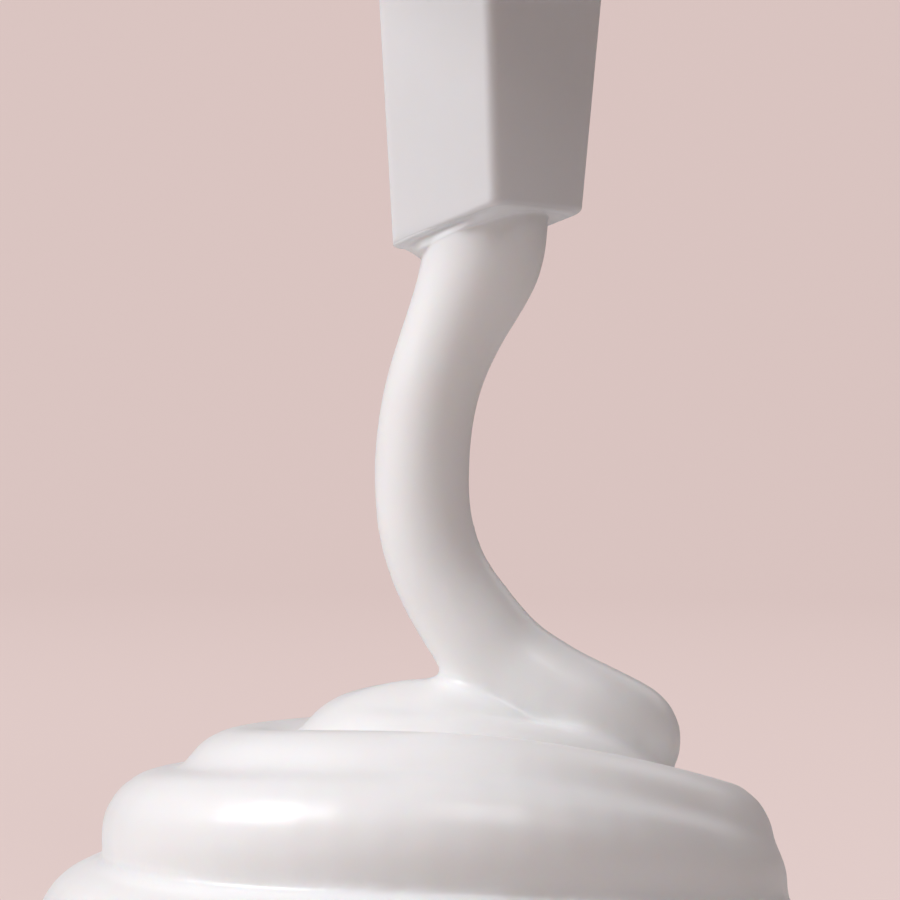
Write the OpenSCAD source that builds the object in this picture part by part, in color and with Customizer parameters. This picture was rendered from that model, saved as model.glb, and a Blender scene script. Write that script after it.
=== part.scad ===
// Body lotion squeeze bottle in use: held neck down, its spout pouring a coil of lotion
// onto the surface below. Millimetres, Z up, the surface at Z 0, the spout's axis at X 0, Y 0.

/* [Bottle] */
// Outer diameter of the body
body_d = 52; // [48:1:60]
// Length from the neck's lip to the base
bottle_len = 140; // [128:1:165]
// Wall of the body
bottle_wall = 1.1; // [0.8:0.1:1.6]
// Outer diameter of the neck under its thread
neck_d = 28; // [26:0.5:30]
// Length of the neck
neck_len = 18; // [17:0.5:22]
// Wall of the neck
neck_wall = 1.9; // [1.4:0.1:2.4]
// Length of the shoulder between neck and body
shoulder_len = 22; // [18:1:28]
// Radius of the heel round the base
heel_r = 6; // [4:0.5:8]
// Depth of the hollow in the base
base_hollow = 2.4; // [1.5:0.1:3.5]
// Height of the lotion inside, from the neck's lip
fill_len = 100; // [60:5:115]

/* [Neck thread] */
// Height of the thread above the neck
thread_rise = 1; // [0.6:0.1:1.2]
// Width of the thread at its root
thread_w = 2; // [1.6:0.1:2.4]
// Rise of the thread in one turn
thread_pitch = 4; // [3.4:0.1:4.6]
// Turns of the thread
thread_turns = 1.75; // [1.25:0.25:2]
// Start of the thread above the lip
thread_start = 4; // [3:0.5:5]
// Width of the stop bead above the thread
bead_w = 1.4; // [1:0.1:2]

/* [Closure] */
// Wall of the screw skirt
cap_wall = 2.4; // [2:0.1:3.2]
// Depth of the screw skirt above the deck
skirt_len = 16.5; // [15:0.5:19]
// Thickness of the deck
deck_t = 1.6; // [1.2:0.1:2.4]
// Height of the grip ribs above the skirt
rib_rise = 0.45; // [0.3:0.05:0.7]
// Number of grip ribs
rib_count = 64; // [48:4:80]
// Wall of the collar round the spout's drum
collar_wall = 2.4; // [1.8:0.1:3]
// Thickness of the lip liner
liner_t = 1; // [0.6:0.1:1.6]
// Thickness of the port seal
seal_t = 1.2; // [0.8:0.1:1.8]
// Height of the snap bead that holds the drum
snap_rise = 0.35; // [0.25:0.05:0.45]

/* [Spout] */
// Height of the mouth's centre above the surface
mouth_z = 38; // [37:0.1:42]
// Length from the mouth's centre to the drum
spout_len = 20; // [18:0.5:26]
// Width of the left and right pair of faces at the mouth
face_a = 7.2; // [6.7:0.1:8]
// Width of the other pair of faces at the mouth
face_b = 6.7; // [6.3:0.1:8]
// Draft of the first width, each side
draft_a = 1; // [0.5:0.1:2]
// Draft of the second width, each side
draft_b = 5.3; // [3:0.1:6]
// Radius of the spout's long edges and of its mouth's rim
edge_r = 0.55; // [0.4:0.05:0.6]
// Turn of the faces about the axis, from the front
face_turn = 42; // [30:1:60]
// Slant of the mouth
mouth_slant = 15.8; // [8:0.2:16.4]
// Bore of the spout
bore_d = 5; // [4.4:0.1:5.2]
// Diameter of the drum that turns in the closure
drum_d = 18.8; // [18:0.2:22]
// Height of the drum
drum_len = 4; // [3.6:0.1:5]
// Depth of the flow slot in the drum
slot_depth = 2.5; // [1.5:0.1:2.8]
// Diameter of each port
port_d = 3.8; // [3:0.1:4.2]
// Distance of each port from the axis
port_reach = 4.6; // [4.2:0.1:5.4]

/* [Lotion] */
// Width of the round strand where it leaves the mouth
exit_d = 6.2; // [5.8:0.1:6.4]
// How far the lotion bulges out of the four-sided mouth
bulge_drop = 0.36; // [0.24:0.02:0.5]
// Share of the coil's girth to its full value
girth_share = 1; // [0.94:0.01:1.05]

/* [Fits] */
// Radial running clearance of the drum
turn_fit = 0.08; // [0.04:0.01:0.1]
// Clearance between the thread and the skirt
thread_fit = 0.25; // [0.15:0.05:0.35]
// Clearance between faces of different pieces
face_fit = 0.05; // [0.03:0.01:0.1]
// Clearance round the lotion inside a piece
lotion_fit = 0.1; // [0.05:0.01:0.15]

/* [Hidden] */
white_hdpe = "#f2f1ee";
white_pp = "#f4f3f0";
liner_grey = "#d9d8d4";
seal_clear = "#e3e2de";
lotion_white = "#f6f5f3";
$fn = 72;

body_r = body_d / 2;
neck_r = neck_d / 2;
neck_bore_r = neck_r - neck_wall;
thread_r = neck_r + thread_rise;
cap_bore_r = thread_r + thread_fit;
cap_r = cap_bore_r + cap_wall;
drum_r = drum_d / 2;
collar_bore_r = drum_r + turn_fit;
collar_r = collar_bore_r + collar_wall;
drum_z = mouth_z + spout_len;
seal_z = drum_z + drum_len + face_fit;
deck_z = seal_z + seal_t;
deck_top_z = deck_z + deck_t;
lip_z = deck_top_z + liner_t + face_fit;
skirt_top_z = deck_top_z + skirt_len;
snap_z = drum_z + drum_len * 0.35;
snap_w = 0.9;
cap_edge = 1.2;
arc_steps = 12;
mouth_room = 4;
lotion_room = 60;

// Height of the slanted mouth at a point of its plane
function mouth_at(x, y) = mouth_z + tan(mouth_slant) * (x * cos(face_turn) - y * sin(face_turn));

// Points along an arc of radius r about [cx, cy], from angle a0 to a1
function arc(cx, cy, r, a0, a1) =
    [for (i = [0:arc_steps]) let (a = a0 + (a1 - a0) * i / arc_steps) [cx + r * cos(a), cy + r * sin(a)]];

// Rounded shoulder from [r0, h0], where it runs outward, to [r1, h1], where it runs upward
function shoulder(r0, h0, r1, h1) =
    [for (i = [0:arc_steps]) let (a = 90 * i / arc_steps)
        [r0 + (r1 - r0) * sin(a), h0 + (h1 - h0) * (1 - cos(a))]];

// Hollow of the base from radius r0 to the axis, at height h and depth d
function hollow(r0, h, d) =
    [for (i = [0:arc_steps]) let (r = r0 * (1 - i / arc_steps)) [r, h - d * (1 - pow(r / r0, 2))]];

function flip(v) = [for (i = [len(v) - 1:-1:0]) v[i]];

// The bottle's outer side from the lip to the middle of the base
function bottle_outside() = concat(
    [[neck_r, 0]],
    shoulder(neck_r, neck_len, body_r, neck_len + shoulder_len),
    arc(body_r - heel_r, bottle_len - heel_r, heel_r, 0, 90),
    hollow(body_r - heel_r - 1, bottle_len, base_hollow));

// Its inner side, a wall in from the outer one, drawn in further by gap
function bottle_inside_flank(gap) = concat(
    [[neck_bore_r - gap, gap]],
    shoulder(neck_bore_r - gap, neck_len + bottle_wall + gap, body_r - bottle_wall - gap,
             neck_len + shoulder_len + bottle_wall));
function bottle_inside() = concat(
    bottle_inside_flank(0),
    arc(body_r - heel_r, bottle_len - heel_r, heel_r - bottle_wall, 0, 90),
    hollow(body_r - heel_r - 1, bottle_len - bottle_wall, base_hollow));

function unit(v) = v / norm(v);

// Ring of n points and radius r about c, square to direction t, with its first point sideways of up
function ring(c, t, r, up, n) =
    let (a = unit(cross(up, t)), b = unit(cross(t, a)))
    [for (i = [0:n - 1]) c + r * (a * cos(360 * i / n) + b * sin(360 * i / n))];

// Solid through a list of rings with n points each
module loft(rings) {
    n = len(rings[0]);
    last = len(rings) - 1;
    sides = [for (j = [0:last - 1], i = [0:n - 1])
        let (a = j * n + i, b = j * n + (i + 1) % n, c = b + n, d = a + n)
        each [[a, c, b], [a, d, c]]];
    polyhedron(
        points = [for (r = rings, p = r) p],
        faces = concat([[for (i = [0:n - 1]) i]], sides, [[for (i = [n - 1:-1:0]) last * n + i]]));
}

// Smooth curve through the values v, at place t from 0 to the last value
function blend4(a, b, c, d, u) = 0.5 * (2 * b + (c - a) * u + (2 * a - 5 * b + 4 * c - d) * u * u
    + (3 * b - a - 3 * c + d) * u * u * u);
function curve(v, t) =
    let (i = min(floor(t), len(v) - 2), last = len(v) - 1)
    blend4(v[max(i - 1, 0)], v[i], v[i + 1], v[min(i + 2, last)], t - i);
function heading(v, t) = unit(curve(v, min(t + 0.05, len(v) - 1)) - curve(v, max(t - 0.05, 0)));

// Rings along the curve through v, where each point is x, y, z and w the width at it
function along(v, w, from, to, step, up, n) =
    [for (t = [from:step:to + step / 4]) ring(curve(v, t), heading(v, t), curve(w, t) / 2, up, n)];

// The pour's centreline below the mouth, and its width at each point
pour = [[0, 0, 38], [-0.14, 0, 36.3], [-0.56, 0, 34.9], [-1.21, 0, 33.5], [-2.07, 0, 31.5],
        [-2.66, 0, 29.5], [-2.96, 0, 27], [-2.93, 0, 24.6], [-2.57, 0, 22.5], [-1.7, 0, 20.35],
        [-0.06, 0, 17.95], [1.4, 0, 16.3], [3.5, -0.3, 14.9], [5.6, -0.3, 13.85], [7.3, 0.6, 12.9],
        [7.45, 3, 12.3]];
pour_w = [6.2, 5.97, 5.5, 4.97, 4.7, 4.67, 4.7, 4.72, 4.75, 4.8, 5.1, 5.3, 5.4, 5.45, 5.6, 5.9];
pour_split = 10;

// The coil's reach from the axis, height and width at each quarter turn, from the top one down
coil_reach = [7.5, 6.8, 5.8, 4.4, 6.7, 9, 11.5, 11.4, 11.8, 13, 15.3, 13.8, 12.4, 15.5, 18.4, 16.6,
              13.5, 15, 16.2];
coil_z = [12.6, 12.2, 11.3, 10.9, 9.8, 10, 9.7, 10.4, 7.6, 7.6, 7.6, 8.7, 5.6, 4.2, 3, 3.4, 2.7, 2.2,
          1.7];
coil_w = [5.7, 6.3, 6.5, 6.4, 6.4, 6.4, 6.6, 6.6, 6.4, 6.5, 6.6, 6.6, 6.6, 6.6, 6.6, 6.4, 6.2, 5.4, 3];
coil_from = 0.35;
coil_sides = 14;
coil_step = 0.2;
coil_halves = 8;

// The mass that the turns have run into: a cone below, a dome over the top turn
core_r = 13;
core_top_r = 7.5;
dome = [8.2, 7.3, 5.8];
dome_at = [-2, 0.3, 9.75];

function coil_at(q) = [curve(coil_reach, q) * cos(90 * q), curve(coil_reach, q) * sin(90 * q),
                       curve(coil_z, q)];
function coil_ring(q) = ring(coil_at(q), unit(coil_at(q + 0.05) - coil_at(q - 0.05)),
                             girth_share * curve(coil_w, q) / 2, [0, 0, 1], coil_sides);

module bottle() {
    color(white_hdpe) translate([0, 0, lip_z]) {
        rotate_extrude() polygon(concat(bottle_outside(), flip(bottle_inside())));
        translate([0, 0, neck_len - 1.5 - bead_w]) difference() {
            cylinder(r = thread_r, h = bead_w);
            translate([0, 0, -1]) cylinder(r = neck_r - 0.2, h = bead_w + 2);
        }
        neck_thread();
    }
}

// Screw thread round the neck, its ends faded into the wall
module neck_thread() {
    steps = round(24 * thread_turns);
    root = neck_r - 0.2;
    rings = [for (i = [0:steps])
        let (a = 360 * thread_turns * i / steps, z = thread_start + thread_pitch * a / 360,
             rise = root + 0.25 + (thread_r - root - 0.25) * min(1, i / 3, (steps - i) / 3),
             d = [cos(a), sin(a), 0])
        [d * root + [0, 0, z], d * root + [0, 0, z + thread_w],
         d * rise + [0, 0, z + thread_w * 0.65], d * rise + [0, 0, z + thread_w * 0.35]]];
    loft(rings);
}

module lotion_fill() {
    color(lotion_white) translate([0, 0, lip_z]) rotate_extrude()
        polygon(concat([[0, fill_len], [0, lotion_fit]], bottle_inside_flank(lotion_fit),
                       [[body_r - bottle_wall - lotion_fit, fill_len]]));
}

module closure_cap() {
    color(white_pp) difference() {
        union() {
            rotate_extrude() polygon(concat(
                [[0, deck_z]],
                [[collar_bore_r, deck_z], [collar_bore_r, drum_z], [collar_r - 0.5, drum_z],
                 [collar_r, drum_z + 0.5], [collar_r + 0.3, drum_z + drum_len * 0.5]],
                arc(cap_r - cap_edge, deck_z - 1 + cap_edge, cap_edge, -90, 0),
                [[cap_r, skirt_top_z], [cap_bore_r, skirt_top_z], [cap_bore_r, deck_top_z],
                 [0, deck_top_z]]));
            grip_ribs();
            snap_bead();
        }
        ports(port_d + 0.4, deck_z - 1, deck_t + 2);
    }
}

// Fine grip ribs round the skirt
module grip_ribs() {
    inner_r = cap_r - 0.5;
    crest_r = cap_r + rib_rise;
    pitch = 360 / rib_count;
    translate([0, 0, deck_z + cap_edge]) linear_extrude(skirt_top_z - deck_z - 2 * cap_edge)
        difference() {
            polygon([for (i = [0:rib_count - 1], k = [[0.1, cap_r - 0.1], [0.35, crest_r],
                                                      [0.65, crest_r], [0.9, cap_r - 0.1]])
                k[1] * [cos((i + k[0]) * pitch), sin((i + k[0]) * pitch)]]);
            circle(r = inner_r);
        }
}

// Bead inside the collar that the drum snaps over
module snap_bead() {
    rotate_extrude() polygon([[collar_bore_r + 0.3, snap_z], [collar_bore_r - snap_rise, snap_z + 0.2],
        [collar_bore_r - snap_rise, snap_z + snap_w - 0.2], [collar_bore_r + 0.3, snap_z + snap_w]]);
}

// The two flow ports, of diameter d, from height z
module ports(d, z, h) {
    for (side = [-1, 1]) translate([side * port_reach, 0, z]) cylinder(d = d, h = h);
}

module closure_liner() {
    color(liner_grey) translate([0, 0, deck_top_z]) difference() {
        cylinder(r = cap_bore_r - lotion_fit, h = liner_t);
        translate([0, 0, -1]) cylinder(r = neck_bore_r, h = liner_t + 2);
    }
}

module port_seal() {
    color(seal_clear) difference() {
        translate([0, 0, seal_z]) cylinder(r = collar_bore_r - lotion_fit, h = seal_t);
        ports(port_d, seal_z - 1, seal_t + 2);
    }
}

module spout() {
    color(white_pp) difference() {
        union() {
            four_sided();
            drum();
        }
        translate([0, 0, mouth_z - mouth_room])
            cylinder(d = bore_d, h = spout_len + mouth_room + drum_len - slot_depth + 0.1);
        flow_slot();
    }
}

// Half widths of the four-sided part at height z
function half_a(z) = face_a / 2 + tan(draft_a) * (z - mouth_z);
function half_b(z) = face_b / 2 + tan(draft_b) * (z - mouth_z);

// The tapered four-sided part, rounded along its edges and round its slanted mouth
module four_sided() {
    root_z = drum_z + 1;
    axis_a = [-cos(face_turn), sin(face_turn), 0];
    axis_b = [sin(face_turn), cos(face_turn), 0];
    hull() {
        for (a = [-1, 1], b = [-1, 1]) {
            foot = axis_a * a * (half_a(mouth_z) - edge_r) + axis_b * b * (half_b(mouth_z) - edge_r);
            top = axis_a * a * (half_a(root_z) - edge_r) + axis_b * b * (half_b(root_z) - edge_r);
            translate([foot[0], foot[1], mouth_at(foot[0], foot[1]) + edge_r]) sphere(r = edge_r, $fn = 24);
            translate([top[0], top[1], root_z - 0.5]) cylinder(r = edge_r, h = 0.5, $fn = 24);
        }
    }
}

// The round drum that turns in the collar, with a groove for the snap bead
module drum() {
    groove_r = collar_bore_r - snap_rise - turn_fit;
    rotate_extrude() polygon([[0, drum_z], [drum_r - 0.4, drum_z], [drum_r, drum_z + 0.4],
        [drum_r, snap_z - 0.15], [groove_r, snap_z + 0.05], [groove_r, snap_z + snap_w - 0.05],
        [drum_r, snap_z + snap_w + 0.15], [drum_r, drum_z + drum_len], [0, drum_z + drum_len]]);
}

// Slot across the drum's top that joins both ports to the bore
module flow_slot() {
    floor_z = drum_z + drum_len - slot_depth;
    ports(port_d, floor_z, slot_depth + 1);
    translate([-port_reach, -port_d / 2, floor_z]) cube([2 * port_reach, port_d, slot_depth + 1]);
}

// Frame on the mouth's slanted plane, with X up the slant and Y along the second width
module on_mouth() {
    translate([0, 0, mouth_z]) rotate(a = mouth_slant, v = [-sin(face_turn), -cos(face_turn), 0])
        rotate(-face_turn) children();
}

// Lotion that fills the mouth from side to side and draws in to the round strand
module mouth_bulge() {
    plate = 0.06;
    corner_r = edge_r;
    hull() on_mouth() {
        for (a = [-1, 1], b = [-1, 1])
            translate([a * (face_a / 2 - 2 * corner_r), b * (face_b / 2 - 2 * corner_r), -lotion_fit - plate])
                cylinder(r = corner_r, h = plate, $fn = 24);
        translate([0, 0, -bulge_drop]) cylinder(d = exit_d, h = plate, $fn = 40);
    }
}

// Lotion from the drum's slot through the bore and down to the coil
module lotion_stream() {
    bore_fill_r = bore_d / 2 - lotion_fit;
    overlap = 0.6;
    sides = 20;
    exit_r = exit_d / 2;
    exit_ring = [for (i = [0:sides - 1])
        let (x = -exit_r * cos(360 * i / sides), y = exit_r * sin(360 * i / sides))
        [x, y, mouth_at(x, y) - 2 * lotion_fit]];
    color(lotion_white) {
        translate([0, 0, mouth_z - overlap])
            cylinder(r = bore_fill_r, h = drum_z + drum_len - slot_depth - mouth_z + overlap);
        mouth_bulge();
        loft(concat([exit_ring], along(pour, pour_w, 1, pour_split, 0.4, [0, 1, 0], sides)));
    }
}

// The coil of lotion: the pour's last stretch, its turns, and the mass under them
module lotion_swirl() {
    color(lotion_white) intersection() {
        union() {
            loft(along(pour, pour_w, pour_split, len(pour) - 1, 0.5, [0, 0, 1], coil_sides));
            for (half = [0:coil_halves]) {
                from = max(2 * half, coil_from);
                to = min(2 * half + 2 + coil_step, len(coil_reach) - 1.1);
                loft([for (q = [from:coil_step:to + coil_step / 2]) coil_ring(q)]);
            }
            translate([dome_at[0], 0, 0]) cylinder(r1 = core_r, r2 = core_top_r, h = dome_at[2]);
            translate(dome_at) scale(dome) sphere(r = 1, $fn = 48);
        }
        translate([-lotion_room, -lotion_room, 0]) cube([2 * lotion_room, 2 * lotion_room, lotion_room]);
    }
}

bottle();
lotion_fill();
closure_cap();
closure_liner();
port_seal();
spout();
lotion_stream();
lotion_swirl();
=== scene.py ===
"""Looks of a body lotion squeeze bottle that pours a coil of lotion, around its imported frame."""
import logging
import math
from dataclasses import dataclass, field
from enum import Enum

import bmesh
import bpy
from mathutils import Matrix, Vector


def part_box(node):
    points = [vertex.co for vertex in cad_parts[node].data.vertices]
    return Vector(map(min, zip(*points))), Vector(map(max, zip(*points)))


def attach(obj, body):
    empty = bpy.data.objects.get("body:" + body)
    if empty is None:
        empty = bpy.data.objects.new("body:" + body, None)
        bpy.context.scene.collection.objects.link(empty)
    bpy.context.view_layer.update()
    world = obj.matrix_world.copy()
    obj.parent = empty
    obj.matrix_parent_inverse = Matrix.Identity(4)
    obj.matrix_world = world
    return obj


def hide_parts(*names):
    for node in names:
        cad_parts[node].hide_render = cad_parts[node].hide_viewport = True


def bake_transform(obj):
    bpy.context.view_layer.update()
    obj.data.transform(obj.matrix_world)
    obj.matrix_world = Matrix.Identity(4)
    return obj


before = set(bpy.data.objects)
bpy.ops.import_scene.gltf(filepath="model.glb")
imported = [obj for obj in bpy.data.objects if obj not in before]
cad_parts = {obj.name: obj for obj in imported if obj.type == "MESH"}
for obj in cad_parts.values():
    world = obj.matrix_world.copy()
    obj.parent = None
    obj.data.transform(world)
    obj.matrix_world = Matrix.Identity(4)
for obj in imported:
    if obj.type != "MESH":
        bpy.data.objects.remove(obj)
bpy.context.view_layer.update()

MM = 0.001
LOG = logging.getLogger("lotion_bottle")


class Body(Enum):
    """The moving bodies that pieces ride on."""
    CLOSURE = "closure"
    SPOUT = "spout_body"
    BOTTLE = "bottle_body"


class Slot(Enum):
    """The record's material slots."""
    BOTTLE = "bottle_hdpe"
    CLOSURE = "closure_pp"
    SPOUT = "spout_pp"
    LINER = "liner_foam"
    SEAL = "seal_tpe"
    LOTION = "lotion"


def linear(colour: str) -> tuple[float, float, float, float]:
    """Turn an sRGB hex colour into a linear colour.

    Args:
        colour: Six hex digits after a hash sign.

    Returns:
        Linear red, green, blue and an alpha of 1.
    """
    parts = [int(colour[i:i + 2], 16) / 255 for i in (1, 3, 5)]
    return tuple(p / 12.92 if p <= 0.04045 else ((p + 0.055) / 1.055) ** 2.4 for p in parts) + (1.0,)


def add_node(tree: bpy.types.NodeTree, kind: str, sockets: dict | None = None, **settings) -> bpy.types.Node:
    """Add a shader node with its settings, values and links.

    Args:
        tree: Node tree that takes the node.
        kind: Type name of the node.
        sockets: Input name or number to a value, or to the output socket that feeds it.
        **settings: Attributes of the node.

    Returns:
        The new node.
    """
    node = tree.nodes.new(kind)
    for name, value in settings.items():
        setattr(node, name, value)
    for name, value in (sockets or {}).items():
        if isinstance(value, bpy.types.NodeSocket):
            tree.links.new(value, node.inputs[name])
        else:
            node.inputs[name].default_value = value
    return node


def new_tree(name: str) -> tuple[bpy.types.Material, bpy.types.NodeTree]:
    """Make an empty node material.

    Args:
        name: Name of the material.

    Returns:
        The material and its node tree.
    """
    material = bpy.data.materials.new(name)
    material.use_nodes = True
    material.node_tree.nodes.clear()
    return material, material.node_tree


@dataclass(frozen=True)
class MouldedPlastic:
    """Polyolefin as it leaves its mould: milky white, satin, faintly uneven.

    The milky depth comes from a short subsurface radius, and the satin from a fine grain.
    """
    name: str
    light: str
    shade: str
    roughness: float
    roughness_spread: float = 0.05
    clouds_mm: float = 9.0
    grain_mm: float = 0.16
    grain_depth_mm: float = 0.002
    stretch: float = 1.0
    waves_mm: float = 7.0
    wave_depth_mm: float = 0.02
    depth_mm: float = 0.7
    depth_weight: float = 0.25
    coat: float = 0.0

    def material(self) -> bpy.types.Material:
        """Build the node material."""
        material, tree = new_tree(self.name)
        coords = add_node(tree, "ShaderNodeTexCoord")
        place = add_node(tree, "ShaderNodeMapping", {
            "Vector": coords.outputs["Object"], "Scale": (1.0, 1.0, 1.0 / self.stretch)})
        clouds = add_node(tree, "ShaderNodeTexNoise", {
            "Vector": place.outputs["Vector"], "Scale": 1 / (self.clouds_mm * MM), "Detail": 3.0})
        colour = add_node(tree, "ShaderNodeMix", {
            0: clouds.outputs["Fac"], 6: linear(self.light), 7: linear(self.shade)}, data_type="RGBA")
        rough = add_node(tree, "ShaderNodeMapRange", {
            "Value": clouds.outputs["Fac"], "To Min": self.roughness - self.roughness_spread,
            "To Max": self.roughness + self.roughness_spread})
        waves = add_node(tree, "ShaderNodeTexNoise", {
            "Vector": place.outputs["Vector"], "Scale": 1 / (self.waves_mm * MM), "Detail": 1.0})
        swell = add_node(tree, "ShaderNodeBump", {
            "Height": waves.outputs["Fac"], "Distance": self.wave_depth_mm * MM, "Strength": 1.0})
        grain = add_node(tree, "ShaderNodeTexNoise", {
            "Vector": coords.outputs["Object"], "Scale": 1 / (self.grain_mm * MM), "Detail": 2.0})
        bump = add_node(tree, "ShaderNodeBump", {
            "Height": grain.outputs["Fac"], "Distance": self.grain_depth_mm * MM, "Strength": 1.0,
            "Normal": swell.outputs["Normal"]})
        shader = add_node(tree, "ShaderNodeBsdfPrincipled", {
            "Base Color": colour.outputs[2], "Roughness": rough.outputs["Result"], "IOR": 1.5,
            "Subsurface Weight": self.depth_weight, "Subsurface Radius": (1.0, 0.8, 0.65),
            "Subsurface Scale": self.depth_mm * MM, "Coat Weight": self.coat, "Coat Roughness": 0.15,
            "Normal": bump.outputs["Normal"]})
        add_node(tree, "ShaderNodeOutputMaterial", {"Surface": shader.outputs["BSDF"]})
        return material


@dataclass(frozen=True)
class LotionCream:
    """White oil-in-water emulsion: bright, wet on its surface, soft light inside.

    The wet look comes from a low roughness under a thin coat, the softness from a longer
    subsurface radius than plastic has, and slow swells break its highlights as they do on cream.
    """
    name: str = "White_lotion"
    light: str = "#F8F8F7"
    shade: str = "#F4F3F1"
    swell_mm: float = 5.0
    swell_depth_mm: float = 0.05
    ripple_mm: float = 1.4
    ripple_depth_mm: float = 0.006
    depth_mm: float = 1.6

    def material(self) -> bpy.types.Material:
        """Build the node material."""
        material, tree = new_tree(self.name)
        coords = add_node(tree, "ShaderNodeTexCoord")
        swell = add_node(tree, "ShaderNodeTexNoise", {
            "Vector": coords.outputs["Object"], "Scale": 1 / (self.swell_mm * MM), "Detail": 1.0})
        ripple = add_node(tree, "ShaderNodeTexNoise", {
            "Vector": coords.outputs["Object"], "Scale": 1 / (self.ripple_mm * MM), "Detail": 2.0})
        colour = add_node(tree, "ShaderNodeMix", {
            0: swell.outputs["Fac"], 6: linear(self.light), 7: linear(self.shade)}, data_type="RGBA")
        rough = add_node(tree, "ShaderNodeMapRange", {
            "Value": ripple.outputs["Fac"], "To Min": 0.3, "To Max": 0.38})
        slow = add_node(tree, "ShaderNodeBump", {
            "Height": swell.outputs["Fac"], "Distance": self.swell_depth_mm * MM, "Strength": 1.0})
        bump = add_node(tree, "ShaderNodeBump", {
            "Height": ripple.outputs["Fac"], "Distance": self.ripple_depth_mm * MM, "Strength": 1.0,
            "Normal": slow.outputs["Normal"]})
        shader = add_node(tree, "ShaderNodeBsdfPrincipled", {
            "Base Color": colour.outputs[2], "Roughness": rough.outputs["Result"], "IOR": 1.42,
            "Subsurface Weight": 0.45, "Subsurface Radius": (1.0, 0.72, 0.55),
            "Subsurface Scale": self.depth_mm * MM, "Coat Weight": 0.12, "Coat Roughness": 0.2,
            "Normal": bump.outputs["Normal"]})
        add_node(tree, "ShaderNodeOutputMaterial", {"Surface": shader.outputs["BSDF"]})
        return material


@dataclass(frozen=True)
class StudioPaper:
    """Pale paper sweep: matt, plain, and shown at its own colour to the camera.

    Part of what the camera sees is the paper's plain colour, and the rest is lit, so that the
    object's shadow stays on it.
    """
    name: str = "Pale_paper"
    colour: str = "#EBD3CF"
    lit_colour: str = "#DCD4D1"
    plain_share: float = 0.75

    def material(self) -> bpy.types.Material:
        """Build the node material."""
        material, tree = new_tree(self.name)
        lit = add_node(tree, "ShaderNodeBsdfDiffuse", {"Color": linear(self.lit_colour)})
        plain = add_node(tree, "ShaderNodeEmission", {"Color": linear(self.colour), "Strength": 1.0})
        path = add_node(tree, "ShaderNodeLightPath")
        share = add_node(tree, "ShaderNodeMath", {
            0: path.outputs["Is Camera Ray"], 1: self.plain_share}, operation="MULTIPLY")
        mixed = add_node(tree, "ShaderNodeMixShader", {
            0: share.outputs[0], 1: lit.outputs["BSDF"], 2: plain.outputs["Emission"]})
        add_node(tree, "ShaderNodeOutputMaterial", {"Surface": mixed.outputs["Shader"]})
        return material


WHITE_HDPE = MouldedPlastic("Blow_moulded_HDPE", "#F1EFEA", "#E9E6E0", roughness=0.42, stretch=6.0,
                            waves_mm=5.0, wave_depth_mm=0.03, grain_mm=0.3, depth_mm=1.0)
WHITE_PP = MouldedPlastic("Moulded_PP", "#EFEFEE", "#E9E9E8", roughness=0.36)
SPOUT_PP = MouldedPlastic("Polished_PP", "#EEEEEE", "#E8E8E8", roughness=0.33, wave_depth_mm=0.012,
                          depth_mm=0.9, depth_weight=0.35)
FOAM_PE = MouldedPlastic("Foamed_PE", "#DEDCD7", "#CFCDC8", roughness=0.7, grain_depth_mm=0.03)
SOFT_TPE = MouldedPlastic("Soft_TPE", "#E3E2DE", "#DAD8D4", roughness=0.55)
LOTION = LotionCream()


def dress(obj: bpy.types.Object, material: bpy.types.Material) -> None:
    """Give an object one material in every slot."""
    if not obj.material_slots:
        obj.data.materials.append(material)
    for slot in obj.material_slots:
        slot.material = material


def to_object(bm: bmesh.types.BMesh, name: str, sharp_deg: float = 38.0) -> bpy.types.Object:
    """Turn a bmesh in millimetres into a smooth-shaded object in metres.

    Args:
        bm: The finished bmesh, freed here.
        name: Name of the object.
        sharp_deg: Angle between faces above which an edge stays sharp.

    Returns:
        The new object at the origin.
    """
    bmesh.ops.scale(bm, vec=(MM, MM, MM), verts=bm.verts)
    mesh = bpy.data.meshes.new(name)
    bm.to_mesh(mesh)
    bm.free()
    mesh.shade_smooth()
    mesh.set_sharp_from_angle(angle=math.radians(sharp_deg))
    obj = bpy.data.objects.new(name, mesh)
    bpy.context.scene.collection.objects.link(obj)
    return obj


def arc(cx: float, cz: float, r: float, start: float, end: float,
        steps: int = 10) -> list[tuple[float, float]]:
    """Points along an arc in the profile's plane.

    Args:
        cx: Distance of the centre from the axis.
        cz: Height of the centre.
        r: Radius.
        start: First angle in degrees.
        end: Last angle in degrees.
        steps: Number of chords.

    Returns:
        Pairs of distance from the axis and height.
    """
    angles = [math.radians(start + (end - start) * i / steps) for i in range(steps + 1)]
    return [(cx + r * math.cos(a), cz + r * math.sin(a)) for a in angles]


def lathe(bm: bmesh.types.BMesh, profile: list[tuple[float, float]], steps: int = 144) -> None:
    """Spin a profile once round the Z axis.

    Args:
        bm: Bmesh that takes the surface.
        profile: Pairs of distance from the axis and height, in order.
        steps: Number of steps round.
    """
    verts = [bm.verts.new((r, 0, z)) for r, z in profile]
    edges = [bm.edges.new(pair) for pair in zip(verts, verts[1:])]
    bmesh.ops.spin(bm, geom=verts + edges, cent=(0, 0, 0), axis=(0, 0, 1), angle=2 * math.pi,
                   steps=steps, use_merge=True, use_duplicate=False)
    bmesh.ops.remove_doubles(bm, verts=bm.verts, dist=0.001)
    bmesh.ops.dissolve_degenerate(bm, dist=0.0005, edges=bm.edges)
    bmesh.ops.recalc_face_normals(bm, faces=bm.faces)


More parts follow.
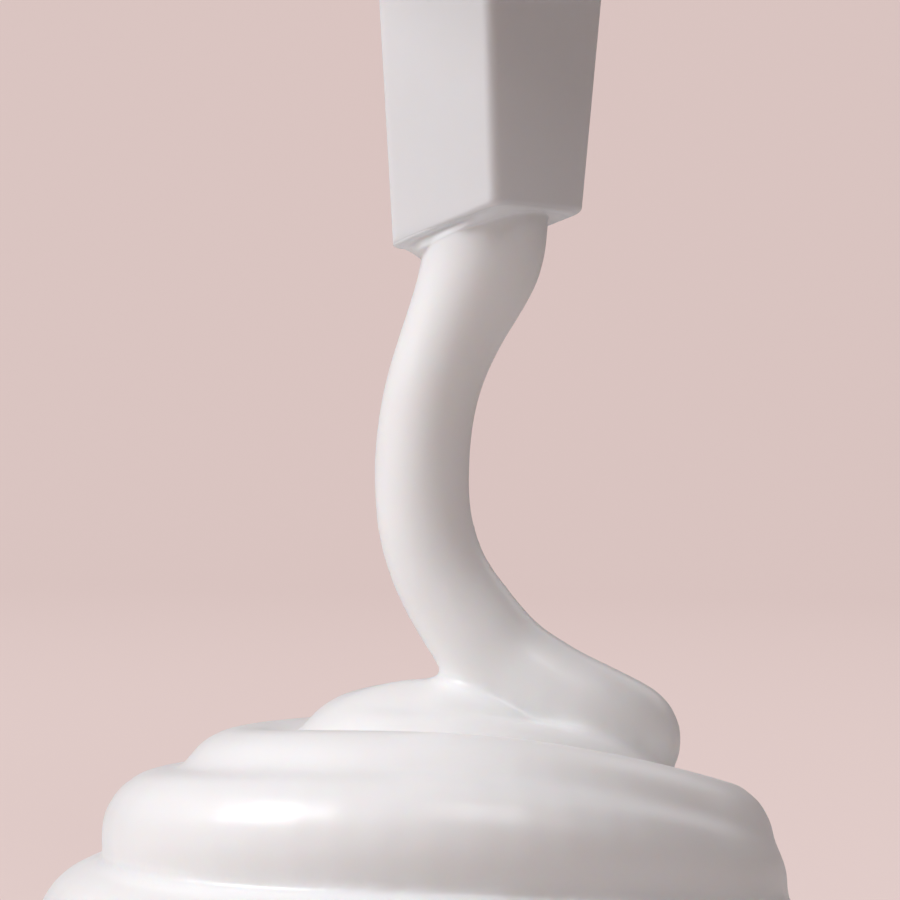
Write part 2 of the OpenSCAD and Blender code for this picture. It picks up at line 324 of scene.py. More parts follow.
def cylinder(r: float, low: float, high: float, x: float = 0.0, y: float = 0.0,
             segments: int = 64) -> bmesh.types.BMesh:
    """Make a closed cylinder along Z.

    Args:
        r: Radius.
        low: Height of its lower end.
        high: Height of its upper end.
        x: Place of its axis along X.
        y: Place of its axis along Y.
        segments: Number of sides.

    Returns:
        A new bmesh.
    """
    bm = bmesh.new()
    bmesh.ops.create_cone(bm, cap_ends=True, segments=segments, radius1=r, radius2=r, depth=high - low,
                          matrix=Matrix.Translation((x, y, (low + high) / 2)))
    return bm


def apply_modifiers(obj: bpy.types.Object) -> None:
    """Replace an object's mesh by the result of its modifiers."""
    depsgraph = bpy.context.evaluated_depsgraph_get()
    mesh = bpy.data.meshes.new_from_object(obj.evaluated_get(depsgraph))
    obj.modifiers.clear()
    old = obj.data
    obj.data = mesh
    bpy.data.meshes.remove(old)


def cut(bm: bmesh.types.BMesh, tools: list[bmesh.types.BMesh]) -> bmesh.types.BMesh:
    """Take solids out of another.

    Args:
        bm: Solid that is cut, freed here.
        tools: Solids that are taken out, freed here.

    Returns:
        A new bmesh of what is left.
    """
    parts = []
    for part in [bm] + tools:
        mesh = bpy.data.meshes.new("cut_part")
        part.to_mesh(mesh)
        part.free()
        obj = bpy.data.objects.new("cut_part", mesh)
        bpy.context.scene.collection.objects.link(obj)
        parts.append(obj)
    for tool in parts[1:]:
        modifier = parts[0].modifiers.new("cut", "BOOLEAN")
        modifier.operation = "DIFFERENCE"
        modifier.solver = "EXACT"
        modifier.object = tool
    apply_modifiers(parts[0])
    result = bmesh.new()
    result.from_mesh(parts[0].data)
    for obj in parts:
        bpy.data.objects.remove(obj)
    return result


def blend4(a: float, b: float, c: float, d: float, u: float) -> float:
    """Value between b and c on a smooth curve through four values."""
    return 0.5 * (2 * b + (c - a) * u + (2 * a - 5 * b + 4 * c - d) * u * u
                  + (3 * b - a - 3 * c + d) * u ** 3)


def curve(values: list[float], t: float) -> float:
    """Smooth curve through a list of values.

    Args:
        values: Values at places 0, 1, 2 and on.
        t: Place to read.

    Returns:
        The value there.
    """
    last = len(values) - 1
    i = min(int(t), last - 1)
    return blend4(values[max(i - 1, 0)], values[i], values[i + 1], values[min(i + 2, last)], t - i)


@dataclass
class Sheath:
    """What every sub-assembly shares: how a finished piece takes the place of its solids."""

    def hand_over(self, piece: bpy.types.Object, body: Body, slot: Slot, nodes: tuple[str, ...]) -> None:
        """Hide the solids that a piece stands for, and log its faces and body.

        Args:
            piece: The finished object.
            body: Body that it moves with.
            slot: Material slot of the record; not used.
            nodes: Names of the solids that it stands for.
        """
        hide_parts(*nodes)
        LOG.info("%s: %d faces on %s", piece.name, len(piece.data.polygons), body.value)


@dataclass
class Bottle(Sheath):
    """Blow-moulded squeeze bottle, neck down, with its screw neck and hollow base."""
    wall: float = 1.1
    neck_r: float = 14.0
    neck_wall: float = 1.9
    neck_len: float = 18.0
    shoulder_len: float = 22.0
    heel_r: float = 6.0
    base_hollow: float = 2.4
    thread_rise: float = 1.0
    thread_w: float = 2.0
    thread_pitch: float = 4.0
    thread_turns: float = 1.75
    thread_start: float = 4.0
    bead_w: float = 1.4
    seam_w: float = 0.5
    seam_rise: float = 0.12
    low: float = field(init=False)
    length: float = field(init=False)
    body_r: float = field(init=False)

    def __post_init__(self) -> None:
        """Read the place and size from the frame."""
        low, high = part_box("bottle")
        self.low = low[2] / MM
        self.length = (high[2] - low[2]) / MM
        self.body_r = (high[0] - low[0]) / 2 / MM

    def shoulder(self, r0: float, h0: float, r1: float, h1: float) -> list[tuple[float, float]]:
        """Quarter ellipse from the neck, where it runs outward, to the body."""
        angles = [math.radians(90 * i / 16) for i in range(17)]
        return [(r0 + (r1 - r0) * math.sin(a), h0 + (h1 - h0) * (1 - math.cos(a))) for a in angles]

    def hollow(self, h: float) -> list[tuple[float, float]]:
        """Dished middle of the base from its foot ring to the axis, at height h."""
        foot = self.body_r - self.heel_r - 1
        return [(foot * (1 - i / 12), h - self.base_hollow * (1 - (1 - i / 12) ** 2)) for i in range(13)]

    def outside(self) -> list[tuple[float, float]]:
        """Outer profile from the lip to the middle of the base."""
        bead = self.neck_len - 1.5
        reach = self.neck_r + self.thread_rise
        return (arc(self.neck_r - 0.4, 0.4, 0.4, -90, 0, 4)
                + [(self.neck_r, bead - self.bead_w)]
                + arc(reach - 0.3, bead - self.bead_w + 0.3, 0.3, -90, 0, 3)
                + arc(reach - 0.3, bead - 0.3, 0.3, 0, 90, 3)
                + [(self.neck_r + 0.1, bead)]
                + self.shoulder(self.neck_r, self.neck_len, self.body_r, self.neck_len + self.shoulder_len)
                + arc(self.body_r - self.heel_r, self.length - self.heel_r, self.heel_r, 0, 90)
                + self.hollow(self.length))

    def inside(self) -> list[tuple[float, float]]:
        """Inner profile from the lip to the middle of the base."""
        bore = self.neck_r - self.neck_wall
        start = self.neck_len + self.wall
        return (arc(bore + 0.4, 0.4, 0.4, 270, 180, 4)
                + self.shoulder(bore, start, self.body_r - self.wall, start + self.shoulder_len)
                + arc(self.body_r - self.heel_r, self.length - self.heel_r, self.heel_r - self.wall, 0, 90)
                + self.hollow(self.length - self.wall))

    def thread(self, bm: bmesh.types.BMesh) -> None:
        """Add the neck's screw thread, its ends drawn into the wall."""
        root, crest = self.neck_r - 0.2, self.neck_r + self.thread_rise
        z, steps = self.thread_start, 96
        corners = [(root, z), (crest, z + self.thread_w * 0.3), (crest, z + self.thread_w * 0.7),
                   (root, z + self.thread_w)]
        verts = [bm.verts.new((r, 0, h)) for r, h in corners]
        face = bm.faces.new(verts)
        made = bmesh.ops.spin(bm, geom=[face] + list(face.edges) + verts, cent=(0, 0, 0), axis=(0, 0, 1),
                              dvec=(0, 0, self.thread_pitch * self.thread_turns / steps),
                              angle=2 * math.pi * self.thread_turns, steps=steps)
        end = [v for v in made["geom_last"] if isinstance(v, bmesh.types.BMVert)]
        for ring in (verts, end):
            for vert in ring:
                radius = math.hypot(vert.co.x, vert.co.y)
                vert.co.x *= root / radius
                vert.co.y *= root / radius

    def seam(self, bm: bmesh.types.BMesh) -> None:
        """Add the parting line that the two mould halves leave up both sides and over the base."""
        path = self.outside()
        start = next(i for i, (_, h) in enumerate(path) if h >= self.neck_len + 1)
        for side in (1, -1):
            verts = [bm.verts.new((side * (r + self.seam_rise * 0.5), 0, h)) for r, h in path[start:-1]]
            edges = [bm.edges.new(pair) for pair in zip(verts, verts[1:])]
            wide = bmesh.ops.extrude_edge_only(bm, edges=edges)["geom"]
            moved = [v for v in wide if isinstance(v, bmesh.types.BMVert)]
            bmesh.ops.translate(bm, vec=(0, self.seam_w / 2, 0), verts=moved)
            bmesh.ops.translate(bm, vec=(0, -self.seam_w / 2, 0), verts=verts)
            faces = [f for f in wide if isinstance(f, bmesh.types.BMFace)]
            bmesh.ops.solidify(bm, geom=faces, thickness=self.seam_rise)

    def build(self) -> bpy.types.Object:
        """Build and dress the bottle.

        Returns:
            The bottle's object.
        """
        bm = bmesh.new()
        lathe(bm, self.outside()[::-1] + self.inside())
        self.thread(bm)
        self.seam(bm)
        bmesh.ops.recalc_face_normals(bm, faces=bm.faces)
        bmesh.ops.translate(bm, vec=(0, 0, self.low), verts=bm.verts)
        bottle = to_object(bm, "bottle_shell")
        dress(bottle, WHITE_HDPE.material())
        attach(bottle, Body.BOTTLE.value)
        self.hand_over(bottle, Body.BOTTLE, Slot.BOTTLE, ("bottle",))
        return bottle


@dataclass
class Closure(Sheath):
    """Screw closure with grip ribs, a deck with two ports and the collar of the spout's drum."""
    bore_r: float = 15.25
    edge: float = 1.2
    collar_wall: float = 2.4
    collar_bore_r: float = 9.48
    deck_t: float = 1.6
    rib_rise: float = 0.45
    rib_count: int = 64
    port_r: float = 2.1
    port_reach: float = 4.6
    low: float = field(init=False)
    high: float = field(init=False)
    reach: float = field(init=False)
    deck: float = field(init=False)

    def __post_init__(self) -> None:
        """Read the place and size from the frame."""
        low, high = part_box("closure_cap")
        self.low, self.high = low[2] / MM, high[2] / MM
        self.reach = (high[0] - low[0]) / 2 / MM - self.rib_rise
        self.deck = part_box("port_seal")[1][2] / MM

    def profile(self) -> list[tuple[float, float]]:
        """Closed profile of the skirt, the deck and the collar."""
        collar_r = self.collar_bore_r + self.collar_wall
        deck_top = self.deck + self.deck_t
        return ([(0, self.deck), (self.collar_bore_r, self.deck), (self.collar_bore_r, self.low + 0.25)]
                + arc(self.collar_bore_r + 0.25, self.low + 0.25, 0.25, 180, 270, 3)
                + arc(collar_r - 0.6, self.low + 0.6, 0.6, -90, 0, 5)
                + arc(collar_r + 1.3, self.low + 1.9, 1.0, 180, 100, 6)
                + arc(self.reach - self.edge, self.deck - 1 + self.edge, self.edge, -80, 0, 8)
                + arc(self.reach - 0.35, self.high - 0.35, 0.35, 0, 90, 4)
                + arc(self.bore_r + 0.35, self.high - 0.35, 0.35, 90, 180, 4)
                + [(self.bore_r, deck_top), (0, deck_top)])

    def ribs(self, bm: bmesh.types.BMesh) -> None:
        """Add the fine ribs round the skirt, each a bar with rounded edges."""
        bar = bmesh.new()
        bmesh.ops.create_cube(bar, size=1.0)
        low, high = self.deck + self.edge, self.high - 1.4
        wide = 2 * math.pi * self.reach / self.rib_count * 0.5
        deep = 2 * self.rib_rise
        bmesh.ops.scale(bar, vec=(deep, wide, high - low), verts=bar.verts)
        bmesh.ops.translate(bar, vec=(self.reach, 0, (low + high) / 2), verts=bar.verts)
        outer = [e for e in bar.edges if all(v.co.x > self.reach for v in e.verts)]
        bmesh.ops.bevel(bar, geom=outer, offset=self.rib_rise * 0.6, offset_type="OFFSET", segments=3,
                        profile=0.5, affect="EDGES", material=-1)
        step = 2 * math.pi / self.rib_count
        bmesh.ops.spin(bar, geom=bar.verts[:] + bar.edges[:] + bar.faces[:], cent=(0, 0, 0),
                       axis=(0, 0, 1), angle=step * (self.rib_count - 1), steps=self.rib_count - 1,
                       use_duplicate=True)
        mesh = bpy.data.meshes.new("ribs")
        bar.to_mesh(mesh)
        bar.free()
        bm.from_mesh(mesh)
        bpy.data.meshes.remove(mesh)

    def build(self) -> bpy.types.Object:
        """Build and dress the closure.

        Returns:
            The closure's object.
        """
        bm = bmesh.new()
        lathe(bm, self.profile())
        tools = [cylinder(self.port_r, self.deck - 1, self.deck + self.deck_t + 1, side * self.port_reach)
                 for side in (-1, 1)]
        bm = cut(bm, tools)
        self.ribs(bm)
        cap = to_object(bm, "closure_body")
        dress(cap, WHITE_PP.material())
        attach(cap, Body.CLOSURE.value)
        self.hand_over(cap, Body.CLOSURE, Slot.CLOSURE, ("closure_cap",))
        return cap


@dataclass
class Spout(Sheath):
    """Four-sided moulded spout with its slanted mouth, and the drum that turns in the closure."""
    mouth: float = 38.0
    face_a: float = 7.2
    face_b: float = 6.7
    draft_a: float = 1.0
    draft_b: float = 5.3
    edge_r: float = 0.55
    rim_r: float = 0.28
    turn: float = 42.0
    slant: float = 15.8
    bore_r: float = 2.5
    drum_len: float = 4.0
    slot_depth: float = 2.5
    slot_w: float = 3.8
    port_reach: float = 4.6
    drum_low: float = field(init=False)
    drum_r: float = field(init=False)

    def __post_init__(self) -> None:
        """Read the drum's place and size from the frame."""
        low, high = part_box("spout")
        self.drum_low = high[2] / MM - self.drum_len
        self.drum_r = (high[0] - low[0]) / 2 / MM

    def mouth_plane(self) -> tuple[Vector, Vector]:
        """A point of the mouth's plane, and its normal away from the spout."""
        across = Vector((-math.cos(math.radians(self.turn)), math.sin(math.radians(self.turn)), 0))
        slope = math.tan(math.radians(self.slant))
        return Vector((0, 0, self.mouth)), (-slope * across - Vector((0, 0, 1))).normalized()

    def mouth_at(self, x: float, y: float) -> float:
        """Height of the mouth's plane at a place."""
        turn = math.radians(self.turn)
        rise = math.tan(math.radians(self.slant)) * (x * math.cos(turn) - y * math.sin(turn))
        return self.mouth + rise

    def four_sided(self) -> bmesh.types.BMesh:
        """Tapered body with rounded long edges and a rounded rim round the slanted mouth."""
        low, high = self.mouth - 4, self.drum_low + 0.6
        bm = bmesh.new()
        bmesh.ops.create_cube(bm, size=2.0)
        for vert in bm.verts:
            z = high if vert.co.z > 0 else low
            half_a = self.face_a / 2 + math.tan(math.radians(self.draft_a)) * (z - self.mouth)
            half_b = self.face_b / 2 + math.tan(math.radians(self.draft_b)) * (z - self.mouth)
            vert.co = (vert.co.x * half_a, vert.co.y * half_b, z)
        turn = Matrix.Rotation(math.radians(180 - self.turn), 4, "Z")
        bmesh.ops.transform(bm, matrix=turn, verts=bm.verts)
        long_edges = [e for e in bm.edges if abs(e.verts[0].co.z - e.verts[1].co.z) > 1]
        bmesh.ops.bevel(bm, geom=long_edges, offset=self.edge_r, offset_type="OFFSET", segments=6,
                        profile=0.5, affect="EDGES", material=-1)
        point, normal = self.mouth_plane()
        bmesh.ops.bisect_plane(bm, geom=bm.verts[:] + bm.edges[:] + bm.faces[:], plane_co=point,
                               plane_no=normal, clear_outer=True)
        rim = [e for e in bm.edges if e.is_boundary]
        bmesh.ops.contextual_create(bm, geom=rim)
        bmesh.ops.recalc_face_normals(bm, faces=bm.faces)
        rim = [e for e in bm.edges if all(abs((v.co - point).dot(normal)) < 0.001 for v in e.verts)]
        bmesh.ops.bevel(bm, geom=rim, offset=self.rim_r, offset_type="OFFSET", segments=5,
                        profile=0.5, affect="EDGES", material=-1)
        return bm

    def build(self) -> bpy.types.Object:
        """Build and dress the spout.

        Returns:
            The spout's object.
        """
        top = self.drum_low + self.drum_len
        floor = top - self.slot_depth
        horn = cut(self.four_sided(), [cylinder(self.bore_r, self.mouth - 5, top + 1)])
        drum = bmesh.new()
        lathe(drum, [(0, self.drum_low)] + arc(self.drum_r - 0.4, self.drum_low + 0.4, 0.4, -90, 0, 4)
              + arc(self.drum_r - 0.3, top - 0.3, 0.3, 0, 90, 4) + [(0, top)])
        slot = bmesh.new()
        bmesh.ops.create_cube(slot, size=1.0)
        bmesh.ops.scale(slot, vec=(2 * self.port_reach, self.slot_w, self.slot_depth + 1), verts=slot.verts)
        bmesh.ops.translate(slot, vec=(0, 0, floor + (self.slot_depth + 1) / 2), verts=slot.verts)
        drum = cut(drum, [cylinder(self.bore_r, self.drum_low - 1, top + 1), slot])
        mesh = bpy.data.meshes.new("horn")
        horn.to_mesh(mesh)
        horn.free()
        drum.from_mesh(mesh)
        bpy.data.meshes.remove(mesh)
        spout = to_object(drum, "spout_nozzle", sharp_deg=30)
        dress(spout, SPOUT_PP.material())
        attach(spout, Body.SPOUT.value)
        self.hand_over(spout, Body.SPOUT, Slot.SPOUT, ("spout",))
        return spout


@dataclass
class Pour(Sheath):
    """The lotion in the open: the strand below the mouth, its last fold and the coil."""
    spout: Spout
    pour: list[tuple[float, float, float]] = field(default_factory=lambda: [
        (0, 0, 38), (-0.14, 0, 36.3), (-0.56, 0, 34.9), (-1.21, 0, 33.5), (-2.07, 0, 31.5),
        (-2.66, 0, 29.5), (-2.96, 0, 27), (-2.93, 0, 24.6), (-2.57, 0, 22.5), (-1.7, 0, 20.35),
        (-0.06, 0, 17.95), (1.4, 0, 16.3), (3.5, -0.3, 14.9), (5.6, -0.3, 13.85), (7.3, 0.6, 12.9),
        (7.45, 3, 12.3)])
    pour_w: list[float] = field(default_factory=lambda: [
        6.2, 5.97, 5.5, 4.97, 4.7, 4.67, 4.7, 4.72, 4.75, 4.8, 5.1, 5.3, 5.4, 5.45, 5.6, 5.9])
    coil_reach: list[float] = field(default_factory=lambda: [
        7.5, 6.8, 5.8, 4.4, 6.7, 9, 11.5, 11.4, 11.8, 13, 15.3, 13.8, 12.4, 15.5, 18.4, 16.6, 13.5, 15,
        16.2])
    coil_z: list[float] = field(default_factory=lambda: [
        12.6, 12.2, 11.3, 10.9, 9.8, 10, 9.7, 10.4, 7.6, 7.6, 7.6, 8.7, 5.6, 4.2, 3, 3.4, 2.7, 2.2, 1.7])
    coil_w: list[float] = field(default_factory=lambda: [
        5.7, 6.3, 6.5, 6.4, 6.4, 6.4, 6.6, 6.6, 6.4, 6.5, 6.6, 6.6, 6.6, 6.6, 6.6, 6.4, 6.2, 5.4, 3])
    coil_from: float = 0.35
    coil_to: float = 1.1
    coil_step: float = 0.08
    strand_parts: int = 8
    core_r: float = 13.0
    core_top_r: float = 7.5
    dome: tuple[float, float, float] = (8.2, 7.3, 5.8)
    dome_at: tuple[float, float, float] = (-2.0, 0.3, 9.75)
    bulge_drop: float = 0.27
    bulge_lean: float = 0.12
    fillet: float = 0.2
    rim: tuple[tuple[float, float], ...] = (
        (0.34, -0.03), (0.17, 0.0), (0.07, 0.07), (0.03, 0.19), (0.6, 0.5))
    mouth_power: int = 14
    join_z: float = 24.0
    join_fade: float = 2.0
    weld: float = 0.06
    free_to: float = 9.0
    nudge: float = 0.05
    tilt_from: float = 30.0
    ring_step: float = 0.3
    smooth_reach: float = 1.2
    plump: float = 0.04
    voxel: float = 0.27
    softening: int = 8
    last_softening: int = 2
    sliver: float = 0.35
    soft_top: float = 31.5
    firm_top: float = 36.4

    def strand(self) -> list[tuple[Vector, float]]:
        """Centreline of the lotion from the mouth to the coil's end.

        Returns:
            Points with the strand's radius at each.
        """
        points = []
        for i in range(self.strand_parts * (len(self.pour) - 1) + 1):
            t = i / self.strand_parts
            place = Vector([curve([p[k] for p in self.pour], t) for k in range(3)])
            points.append((place, curve(self.pour_w, t) / 2))
        q = self.coil_from
        while q < len(self.coil_reach) - self.coil_to:
            reach, angle = curve(self.coil_reach, q), math.radians(90 * q)
            place = Vector((reach * math.cos(angle), reach * math.sin(angle), curve(self.coil_z, q)))
            points.append((place, curve(self.coil_w, q) / 2))
            q += self.coil_step
        return points

    def rope(self) -> bpy.types.Object:
        """Tube along the strand, and the mass that its turns have run into, as one closed surface."""
        points = self.strand()
        line = bpy.data.curves.new("rope", "CURVE")
        line.dimensions = "3D"
        line.bevel_depth = 1.0
        line.bevel_resolution = 6
        line.use_fill_caps = True
        spline = line.splines.new("POLY")
        spline.points.add(len(points) - 1)
        for point, (place, radius) in zip(spline.points, points):
            point.co = (*place, 1.0)
            point.radius = radius + self.plump
        holder = bpy.data.objects.new("rope", line)
        bpy.context.scene.collection.objects.link(holder)
        mesh = bpy.data.meshes.new_from_object(holder.evaluated_get(bpy.context.evaluated_depsgraph_get()))
        bm = bmesh.new()
        bm.from_mesh(mesh)
        middle = (self.dome_at[0], 0, self.dome_at[2] / 2)
        bmesh.ops.create_cone(bm, cap_ends=True, segments=48, radius1=self.core_r,
                              radius2=self.core_top_r, depth=self.dome_at[2],
                              matrix=Matrix.Translation(middle))
        bmesh.ops.create_uvsphere(bm, u_segments=48, v_segments=32, radius=1.0,
                                  matrix=Matrix.LocRotScale(Vector(self.dome_at), None, Vector(self.dome)))
        bm.to_mesh(mesh)
        bm.free()
        bpy.data.objects.remove(holder)
        obj = bpy.data.objects.new("rope", mesh)
        bpy.context.scene.collection.objects.link(obj)
        remesh = obj.modifiers.new("merge", "REMESH")
        remesh.mode = "VOXEL"
        remesh.voxel_size = self.voxel
        apply_modifiers(obj)
        return obj

    def soften(self, bm: bmesh.types.BMesh, passes: int) -> None:
        """Draw the surface smooth in a number of passes."""
        for _ in range(passes):
            bmesh.ops.smooth_vert(bm, verts=bm.verts, factor=0.5, use_axis_x=True, use_axis_y=True,
                                  use_axis_z=True)

    def trim(self, bm: bmesh.types.BMesh, height: float, side: int) -> None:
        """Cut away what lies past a level plane: above it where side is 1, below it where it is -1."""
        bmesh.ops.bisect_plane(bm, geom=bm.verts[:] + bm.edges[:] + bm.faces[:], plane_co=(0, 0, height),
                               plane_no=(0, 0, side), clear_outer=True)

    def level_cut(self, z: float) -> tuple[float, ...]:
        """Middle along X and half-widths along X and Y of the strand's smoothed level cut at a height."""
        cuts = [self.raw_cut(z + shift * self.smooth_reach) for shift in (-1, -0.5, 0, 0.5, 1)]
        return tuple(sum(values) / len(cuts) for values in zip(*cuts))

    def raw_cut(self, z: float) -> tuple[float, float, float]:
        """The same three sizes of the strand's own level cut at a height."""
        heights, places = ([p[k] for p in self.pour] for k in (2, 0))
        low, high = 0.0, self.free_to
        for _ in range(16):
            t = (low + high) / 2
            low, high = (t, high) if curve(heights, t) > z else (low, t)
        fall = curve(heights, low + self.nudge) - curve(heights, low)
        lean = (curve(places, low + self.nudge) - curve(places, low)) / fall
        half = curve(self.pour_w, low) / 2
        return curve(places, low), half * math.hypot(1, lean), half

    def underside(self, x: float, y: float) -> float:
        """Height of the plane in which the lotion under the mouth draws in to the round strand."""
        return self.spout.mouth_at(x, y) - self.bulge_drop + self.bulge_lean * x

    def outline_at(self, angle: float, inset: float, rise: float) -> Vector:
        """Point of the four-sided mouth's outline.

        Args:
            angle: Its direction from the middle, in radians.
            inset: How far it lies inside the faces.
            rise: How far it lies above the mouth's plane.

        Returns:
            The point.
        """
        turned = angle + math.radians(self.spout.turn)
        across = abs(math.cos(turned)) / (self.spout.face_a / 2 - inset)
        along = abs(math.sin(turned)) / (self.spout.face_b / 2 - inset)
        reach = (across ** self.mouth_power + along ** self.mouth_power) ** (-1 / self.mouth_power)
        x, y = reach * math.cos(angle), reach * math.sin(angle)
        return Vector((x, y, self.spout.mouth_at(x, y) + rise))

    def neck_rings(self, angles: list[float], offsets: list[Vector]) -> list[list[Vector]]:
        """Rings from the strand's cut end up into the mouth.

        Args:
            angles: Direction of each point from the strand's middle, in radians.
            offsets: How far the cut end departs from the strand's own form at each of them.

        Returns:
            Each ring's points.
        """
        top = self.underside(0, 0) - self.fillet
        steps = round((top - self.join_z) / self.ring_step)
        rings = []
        for k in range(1, steps + 1):
            middle = self.join_z + (top - self.join_z) * k / steps
            tilt = max(0.0, (middle - self.tilt_from) / (top - self.tilt_from))
            fade = max(0.0, 1 - (middle - self.join_z) / self.join_fade)
            ring = []
            for angle, offset in zip(angles, offsets):
                x, y = (self.pour_w[0] / 2 * f(angle) for f in (math.cos, math.sin))
                z = middle + tilt * (self.underside(x, y) - self.underside(0, 0))
                place, half_x, half_y = self.level_cut(z)
                point = Vector((place + half_x * math.cos(angle), half_y * math.sin(angle), z))
                ring.append(point + offset * fade)
            rings.append(ring)
        stem = rings[-1]
        ends = [self.outline_at(angle, *self.rim[0]) for angle in angles]
        room = [min(self.fillet, max(0.02, end.xy.length - p.xy.length)) for p, end in zip(stem, ends)]
        for turn in (22.5, 45, 67.5, 90):
            out, up = 1 - math.cos(math.radians(turn)), self.fillet * math.sin(math.radians(turn))
            rings.append([p + Vector((gap * out * math.cos(a), gap * out * math.sin(a), up))
                          for p, gap, a in zip(stem, room, angles)])
        drawn = rings[-1]
        for share in (0.25, 0.5, 0.75):
            rings.append([p.lerp(end, share) for p, end in zip(drawn, ends)])
        rings += [[self.outline_at(angle, inset, rise) for angle in angles] for inset, rise in self.rim]
        return rings

    def neck(self, bm: bmesh.types.BMesh) -> None:
        """Carry the strand's cut end up, ring by ring, until it fills the four-sided mouth."""
        verts = list({v for e in bm.edges if e.is_boundary for v in e.verts})
        bmesh.ops.remove_doubles(bm, verts=verts, dist=self.weld)
        bmesh.ops.subdivide_edges(bm, edges=[e for e in bm.edges if e.is_boundary], cuts=1)
        place, half_x, half_y = self.level_cut(self.join_z)
        angle = {v: math.atan2(v.co.y / half_y, (v.co.x - place) / half_x)
                 for e in bm.edges if e.is_boundary for v in e.verts}
        ring = sorted(angle, key=angle.get)
        angles = [angle[v] for v in ring]
        offsets = [v.co - Vector((place + half_x * math.cos(a), half_y * math.sin(a), v.co.z))
                   for v, a in zip(ring, angles)]
        for points in self.neck_rings(angles, offsets):
            made = [bm.verts.new(p) for p in points]
            for i in range(len(made)):
                bm.faces.new((ring[i - 1], ring[i], made[i], made[i - 1]))
            ring = made
        bm.faces.new(ring)
        bmesh.ops.recalc_face_normals(bm, faces=bm.faces)

    def build(self) -> bpy.types.Object:
        """Build and dress the lotion.

        Returns:
            The lotion's object.
        """
        rope = self.rope()
        bm = bmesh.new()
        bm.from_mesh(rope.data)
        bpy.data.objects.remove(rope)
        self.soften(bm, self.softening)
        bmesh.ops.remove_doubles(bm, verts=bm.verts, dist=self.voxel * self.sliver)
        self.soften(bm, self.last_softening)
        self.trim(bm, 0, -1)
        bmesh.ops.contextual_create(bm, geom=[e for e in bm.edges if e.is_boundary])
        self.trim(bm, self.join_z, 1)
        self.neck(bm)
        lotion = to_object(bm, "lotion_pour", sharp_deg=180)
        dress(lotion, LOTION.material())
        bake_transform(lotion)
        self.hand_over(lotion, Body.CLOSURE, Slot.LOTION, ("lotion_stream", "lotion_swirl"))
        return lotion


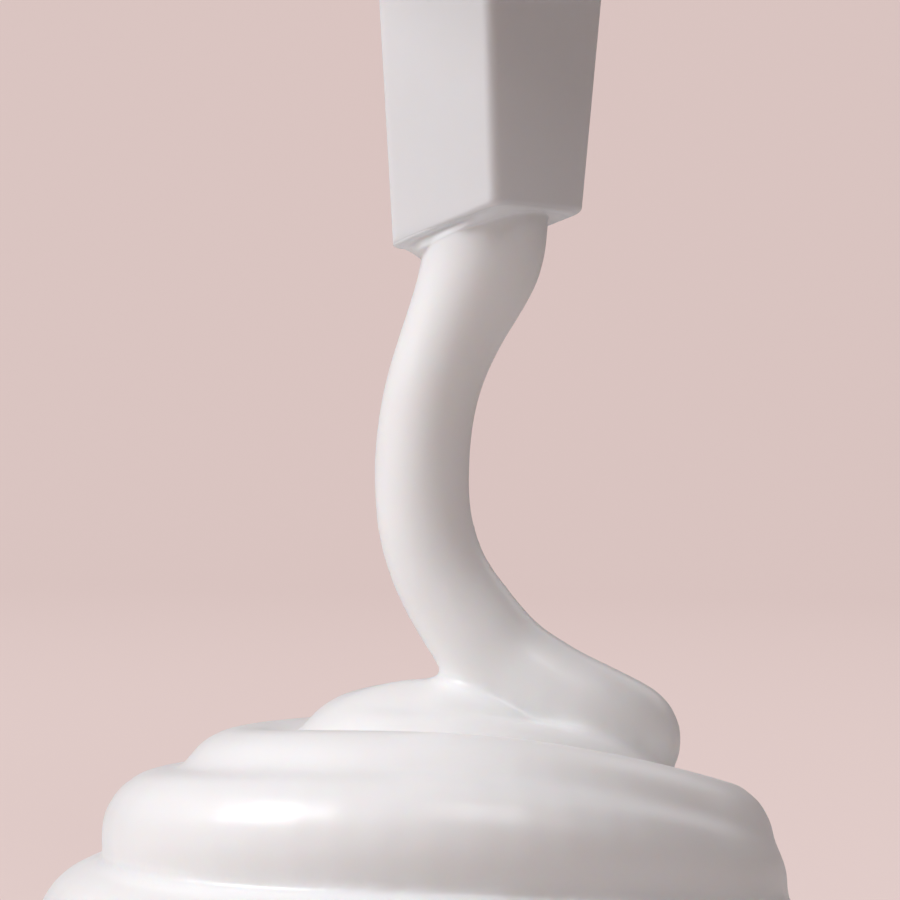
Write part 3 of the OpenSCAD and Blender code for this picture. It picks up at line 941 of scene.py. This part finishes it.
@dataclass
class Studio:
    """Pale paper sweep, soft lamps and the camera at the photograph's angle."""
    distance: float = 180.0
    frame_w: float = 45.0
    eye: tuple[float, float] = (-1.584, 27.0)
    roll: float = -1.1
    floor_half: float = 900.0
    floor_back: float = 500.0
    sweep_r: float = 220.0
    wall_h: float = 900.0
    daylight: str = "#FAFBFF"

    def sweep(self) -> None:
        """Lay the floor and turn it up into the backdrop."""
        bm = bmesh.new()
        side = [(-self.floor_half, 0.0)]
        side += [(self.floor_back + y, self.sweep_r + z) for y, z in arc(0, 0, self.sweep_r, -90, 0, 24)]
        side += [(self.floor_back + self.sweep_r, self.wall_h)]
        verts = [bm.verts.new((-self.floor_half, y, z)) for y, z in side]
        edges = [bm.edges.new(pair) for pair in zip(verts, verts[1:])]
        made = bmesh.ops.extrude_edge_only(bm, edges=edges)["geom"]
        moved = [v for v in made if isinstance(v, bmesh.types.BMVert)]
        bmesh.ops.translate(bm, vec=(2 * self.floor_half, 0, 0), verts=moved)
        paper = to_object(bm, "paper_sweep")
        dress(paper, StudioPaper().material())

    def lamp(self, name: str, place: tuple[float, float, float], size: float, power: float) -> None:
        """Hang a square soft lamp that faces the lotion.

        Args:
            name: Name of the lamp.
            place: Its place in millimetres.
            size: Length of its side in millimetres.
            power: Its power in watts.
        """
        light = bpy.data.lights.new(name, "AREA")
        light.size = size * MM
        light.energy = power
        light.color = linear(self.daylight)[:3]
        lamp = bpy.data.objects.new(name, light)
        lamp.location = Vector(place) * MM
        aim = Vector((0, 0, 25)) * MM - lamp.location
        lamp.rotation_euler = aim.to_track_quat("-Z", "Y").to_euler()
        bpy.context.scene.collection.objects.link(lamp)

    def air(self) -> None:
        """Set the world's even light, and its plain colour where the camera sees it."""
        world = bpy.data.worlds.new("Studio_air")
        world.use_nodes = True
        tree = world.node_tree
        tree.nodes.clear()
        path = add_node(tree, "ShaderNodeLightPath")
        dim = add_node(tree, "ShaderNodeBackground", {"Color": linear("#E6C9C2"), "Strength": 0.15})
        seen = add_node(tree, "ShaderNodeBackground", {"Color": linear(StudioPaper().colour)})
        mixed = add_node(tree, "ShaderNodeMixShader", {
            0: path.outputs["Is Camera Ray"], 1: dim.outputs[0], 2: seen.outputs[0]})
        add_node(tree, "ShaderNodeOutputWorld", {"Surface": mixed.outputs[0]})
        bpy.context.scene.world = world

    def camera(self) -> None:
        """Set the camera level with the middle of the photograph's view."""
        data = bpy.data.cameras.new("camera")
        data.sensor_width = 36.0
        data.lens = data.sensor_width * self.distance / self.frame_w
        data.clip_start = 0.01
        data.clip_end = 10.0
        camera = bpy.data.objects.new("camera", data)
        camera.location = Vector((self.eye[0], -self.distance, self.eye[1])) * MM
        camera.rotation_euler = (math.radians(90), math.radians(self.roll), 0)
        bpy.context.scene.collection.objects.link(camera)
        bpy.context.scene.camera = camera

    def build(self) -> None:
        """Set up the whole studio."""
        self.sweep()
        self.air()
        self.lamp("key", (-465, -130, 410), 300, 3.1)
        self.lamp("top", (90, -270, 560), 240, 0.92)
        self.lamp("rim", (260, 320, 260), 240, 0.15)
        self.camera()
        bpy.context.scene.view_settings.view_transform = "Standard"
        LOG.info("studio: camera %.0f mm away", self.distance)


def dress_hidden() -> None:
    """Dress the solids that stay: the lotion inside, the liner and the port seal."""
    for node, finish in (("lotion_fill", LOTION), ("closure_liner", FOAM_PE), ("port_seal", SOFT_TPE)):
        dress(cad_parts[node], finish.material())
        LOG.info("%s: dressed", node)


def main() -> None:
    """Build the sub-assemblies in order."""
    logging.basicConfig(level=logging.INFO, format="%(message)s")
    Studio().build()
    Bottle().build()
    Closure().build()
    spout = Spout()
    spout.build()
    Pour(spout).build()
    dress_hidden()


if __name__ == "__main__":
    main()
